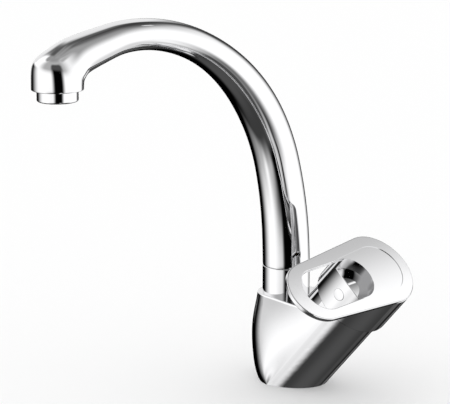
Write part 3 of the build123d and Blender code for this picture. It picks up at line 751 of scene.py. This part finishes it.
# Each card lies over those before it.
CARDS = (
    StudioCard("behind_high", 176, 48, 66, 40, 24, 12, "#aaaaaa"),
    StudioCard("left_shade", 172, -42, 30, 24, 24, 12, "#484848"),
    StudioCard("left_haze", 145, -46, 16, 12, 12, 9, "#bcbcbc"),
    StudioCard("low_left_dim", 88, -40, 24, 10, 14, 9, "#bcbcbc"),
    StudioCard("bounce_right", -58, -40, 26, 14, 8, 7, "#d4d4d4"),
    StudioCard("lower_right_shade", -122, -36, 24, 10, 14, 8, "#707070"),
    StudioCard("floor_fade", 0, -90, ALL_ROUND, 43, 9, 10, "#393939"),
    StudioCard("floor_right", -136, -62, 30, 18, 5, 3, "#464646"),
    StudioCard("floor_right_near", -114, -64, 14, 21, 6, 3, "#464646"),
    StudioCard("zenith", 0, 90, ALL_ROUND, 18, 9, 10, "#909090"),
    StudioCard("upper_left_grey", 70, 72, 42, 9, 10, 5, "#929292"),
    StudioCard("upper_right_fade", -48, 74, 54, 44, 9, 16, "#989898"),
    StudioCard("upper_right_haze", -112, 66, 14, 7, 8, 5, "#a8a8a8"),
    StudioCard("crown_shade", -50, 58, 20, 20, 14, 7, "#606060"),
    StudioCard("arc_top", 0, 62, 32, 9, 10, 9, "#484848"),
    StudioCard("ahead_fade", -12, 3, 29, 20, 20, 5, "#1c1c1c"),
    StudioCard("dark_band", -22, 28, 13, 40, 10, 8, "#3c3c3c", 40),
    StudioCard("gap_left_of_view", 46, -31, 28, 40, 27, 6, "#020202"),
    StudioCard("softbox_ahead", 13.3, 30.8, 26, 33, 6, 4, "#e0e0e0", 40),
    StudioCard("arc_top_front", 4, 64, 26, 10, 8, 12, "#545454"),
    StudioCard("arc_left", 24, 54, 5, 18, 7, 9, "#525252"),
    StudioCard("plate_dim", -60.6, 41.4, 1.9, 1.9, 0.3, 0.3, "#bdbdbd", 34.5),
    StudioCard("plate_light", -61.5, 40.8, 1.3, 1.9, 1.1, 0.3, "#ffffff", 34.5),
    StudioCard("gap_below_backdrop", 14, -41, 34, 32, 4, 3, "#010101"),
    StudioCard("gap_right_edge", -27, -39, 8, 18, 5, 4, "#1c1c1c"),
    StudioCard("gap_right_foot", -34, -54, 6, 8, 4, 4, "#404040"),
    StudioCard("deep_floor", 0, -90, ALL_ROUND, 18, 12, 12, "#494949"),
    StudioCard("camera_wall", -169, 11, 24, 34, 9.5, 5, "#030303"),
    StudioCard("camera_wall_top", -169, 36, 25, 17, 9.5, 8, "#484848"),
    StudioCard("camera_wall_low", -178, -30, 14, 15, 6, 4, "#030303"),
    StudioCard("camera_wall_slit", -162, -31, 2.6, 6, 2.2, 3, "#d8d8d8"),
    StudioCard("camera_wall_edge", -148, -29, 4, 9, 3.5, 4, "#060606", 45),
    StudioCard("camera_wall_foot", -138, -36, 9, 2.5, 7, 3, "#2c2c2c"),
)


@dataclass
class Studio:
    """Camera, pale floor, soft light and the cards that the chrome reflects, in metres and degrees."""

    lens: float = 178.25
    sensor: float = 36.0
    eye: tuple[float, float, float] = (1.0537, -1.1242, 0.4841)
    tilt: tuple[float, float, float] = (77.07, 0.0, 45.0)
    sight: float = 60.0
    floor_half: float = 9.0
    gain: float = 1.34
    plain_gain: float = 1.1

    def camera(self) -> None:
        """Sets the camera at the photograph's view."""
        data = bpy.data.cameras.new("view")
        data.lens = self.lens
        data.sensor_width = self.sensor
        data.clip_end = self.sight
        eye = bpy.data.objects.new("view", data)
        eye.location = self.eye
        eye.rotation_euler = [math.radians(a) for a in self.tilt]
        bpy.context.scene.collection.objects.link(eye)
        bpy.context.scene.camera = eye

    def floor(self) -> None:
        """Lays the plain pale floor, which stays out of the chrome's reflections."""
        bpy.ops.mesh.primitive_plane_add(size=2 * self.floor_half, location=(0, 0, 0))
        floor = bpy.context.object
        floor.name = "studio_floor"
        floor.visible_glossy = False
        made = bpy.data.materials.new("matt white sweep")
        made.use_nodes = True
        tree = made.node_tree
        tree.nodes.clear()
        shader = add_node(tree, "ShaderNodeBsdfPrincipled", {
            "Base Color": linear("#f4f4f4"), "Roughness": 1.0, "Specular IOR Level": 0.0})
        add_node(tree, "ShaderNodeOutputMaterial", {"Surface": shader.outputs["BSDF"]})
        floor.data.materials.append(made)

    def soft_step(self, tree: bpy.types.NodeTree, distance: bpy.types.NodeSocket, half: float,
                  soft: float) -> bpy.types.NodeSocket:
        """Adds a smooth step that is 1 inside a half size and 0 outside it.

        Args:
            tree: the world's node tree.
            distance: distance from the card's middle, in degrees.
            half: half size of the card.
            soft: how far the step reaches to each side of that.
        Returns:
            The step's socket.
        """
        step = add_node(tree, "ShaderNodeMapRange", {
            "Value": distance, "From Min": half - soft, "From Max": half + soft,
            "To Min": 1.0, "To Max": 0.0}, interpolation_type="SMOOTHSTEP")
        return step.outputs["Result"]

    def card_mask(self, tree: bpy.types.NodeTree, card: StudioCard, azimuth: bpy.types.NodeSocket,
                  elevation: bpy.types.NodeSocket) -> bpy.types.NodeSocket:
        """Adds the nodes that are 1 on a card and 0 off it.

        Args:
            tree: the world's node tree.
            card: the card.
            azimuth: angle to the left of the view, in degrees.
            elevation: angle above level, in degrees.
        Returns:
            The mask's socket.
        """
        def math_node(operation: str, *values: object) -> bpy.types.NodeSocket:
            """Adds one sum."""
            return add_node(tree, "ShaderNodeMath", dict(enumerate(values)), operation=operation).outputs[0]

        side = math_node("WRAP", math_node("SUBTRACT", azimuth, card.azimuth), 180.0, -180.0)
        rise = math_node("SUBTRACT", elevation, card.elevation)
        if card.turn:
            cos, sin = math.cos(math.radians(card.turn)), math.sin(math.radians(card.turn))
            side, rise = (
                math_node("ADD", math_node("MULTIPLY", side, cos), math_node("MULTIPLY", rise, sin)),
                math_node("SUBTRACT", math_node("MULTIPLY", rise, cos), math_node("MULTIPLY", side, sin)))
        return math_node(
            "MULTIPLY",
            self.soft_step(tree, math_node("ABSOLUTE", side), card.half_width, card.soft_side),
            self.soft_step(tree, math_node("ABSOLUTE", rise), card.half_height, card.soft_rise))

    def world(self) -> None:
        """Builds the light round the tap: plain white for the floor, cards for the chrome."""
        world = bpy.data.worlds.new("studio")
        world.use_nodes = True
        bpy.context.scene.world = world
        tree = world.node_tree
        tree.nodes.clear()
        way = add_node(tree, "ShaderNodeTexCoord").outputs["Generated"]
        turned = add_node(tree, "ShaderNodeVectorRotate", {
            "Vector": way, "Angle": math.radians(-VIEW_AZIMUTH)}, rotation_type="Z_AXIS")
        axes = add_node(tree, "ShaderNodeSeparateXYZ", {"Vector": turned.outputs["Vector"]})
        turn = add_node(tree, "ShaderNodeMath", {0: axes.outputs["Y"], 1: axes.outputs["X"]},
                        operation="ARCTAN2")
        azimuth = add_node(tree, "ShaderNodeMath", {0: turn.outputs[0]}, operation="DEGREES")
        rise = add_node(tree, "ShaderNodeMath", {0: axes.outputs["Z"]}, operation="ARCSINE")
        elevation = add_node(tree, "ShaderNodeMath", {0: rise.outputs[0]}, operation="DEGREES")
        white = linear("#ffffff")
        colour = white
        for card in CARDS:
            mask = self.card_mask(tree, card, azimuth.outputs[0], elevation.outputs[0])
            mix = add_node(tree, "ShaderNodeMix", {"Factor": mask, 6: colour, 7: linear(card.tone)},
                           data_type="RGBA")
            colour = mix.outputs[2]
        seen = add_node(tree, "ShaderNodeBackground", {"Color": colour, "Strength": self.gain})
        plain = add_node(tree, "ShaderNodeBackground", {"Color": white, "Strength": self.plain_gain})
        path = add_node(tree, "ShaderNodeLightPath")
        both = add_node(tree, "ShaderNodeMixShader", {
            0: path.outputs["Is Glossy Ray"], 1: plain.outputs[0], 2: seen.outputs[0]})
        add_node(tree, "ShaderNodeOutputWorld", {"Surface": both.outputs[0]})

    def build(self) -> None:
        """Builds the whole studio."""
        bpy.context.scene.view_settings.view_transform = "Standard"
        self.camera()
        self.floor()
        self.world()


def main() -> None:
    """Builds the studio and the tap's looks, sub-assembly by sub-assembly."""
    bpy.ops.object.select_all(action="DESELECT")
    Studio().build()
    dresser = Dresser()
    for part in (TapBody(), SwanNeck(), Aerator(), Cartridge(), LoopHandle()):
        part.build(dresser)


if __name__ == "__main__":
    main()
